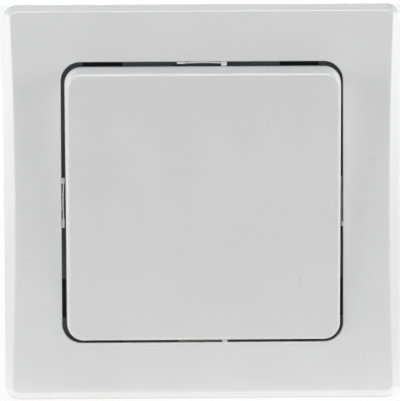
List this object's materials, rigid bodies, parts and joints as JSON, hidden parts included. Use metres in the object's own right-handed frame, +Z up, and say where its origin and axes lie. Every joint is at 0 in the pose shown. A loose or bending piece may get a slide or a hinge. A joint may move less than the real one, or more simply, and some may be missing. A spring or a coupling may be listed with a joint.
{
  "type": "push button light switch",
  "caption": "Flush-mounted push button light switch: square crowned cover frame, large tilting button that springs back, steel support ring and a contact insert for the wall box",
  "frame": {"origin": "middle of the wall plane, where the frame's rim and the insert's flange meet the wall", "axes": "+Z is up on the wall, +X is to the right as seen from the room, +Y points into the wall"},
  "size_m": [0.08, 0.0352, 0.08],
  "materials": {
    "frame_white": "moulded white, satin gloss",
    "button_white": "moulded white, satin gloss",
    "carrier_plastic": "moulded light grey",
    "zinc_steel": "zinc-plated sheet steel",
    "housing_plastic": "moulded black thermoset",
    "cover_plastic": "moulded grey",
    "rivet_steel": "zinc-plated steel",
    "plunger_plastic": "moulded natural plastic",
    "contact_brass": "bright rolled brass",
    "contact_silver": "silver contact rivet",
    "spring_steel": "bright spring steel",
    "release_plastic": "moulded grey"
  },
  "bodies": {
    "insert": {"base_housing": "housing_plastic", "cover_frame": "frame_white", "support_ring": "zinc_steel", "housing_cover": "cover_plastic", "ring_rivets": "rivet_steel", "contact_bar_left": "contact_brass", "contact_bar_right": "contact_brass", "fixed_contact_left": "contact_silver", "fixed_contact_right": "contact_silver", "clamp_spring_left_upper": "spring_steel", "clamp_spring_left_lower": "spring_steel", "clamp_spring_right_upper": "spring_steel", "clamp_spring_right_lower": "spring_steel", "return_spring": "spring_steel"},
    "button": {"rocker": "button_white", "rocker_carrier": "carrier_plastic"},
    "plunger": {"plunger": "plunger_plastic", "contact_bridge": "contact_brass", "moving_contact_left": "contact_silver", "moving_contact_right": "contact_silver"},
    "release_left": {"release_left": "release_plastic"},
    "release_right": {"release_right": "release_plastic"}
  },
  "joints": [
    {"name": "button_tilt", "type": "hinge", "parent": "insert", "child": "button", "pos_m": [0, -0.004, 0], "axis": [-1, 0, 0], "range_deg": [0, 10.6], "stiffness_Nm_per_rad": 0.15, "springref_deg": -8.02},
    {"name": "plunger_slide", "type": "slide", "parent": "insert", "child": "plunger", "axis": [0, 1, 0], "range_m": [0, 0.0015], "deforming": ["return_spring"]},
    {"name": "release_left_slide", "type": "slide", "parent": "insert", "child": "release_left", "axis": [0, -1, 0], "range_m": [0, 0.0014], "stiffness_N_per_m": 150, "springref_m": -0.002, "deforming": ["clamp_spring_left_upper", "clamp_spring_left_lower"]},
    {"name": "release_right_slide", "type": "slide", "parent": "insert", "child": "release_right", "axis": [0, -1, 0], "range_m": [0, 0.0014], "stiffness_N_per_m": 150, "springref_m": -0.002, "deforming": ["clamp_spring_right_upper", "clamp_spring_right_lower"]}
  ],
  "couplings": [
    {"joint": "plunger_slide", "follows": "button_tilt", "m_per_rad": 0.00799}
  ]
}
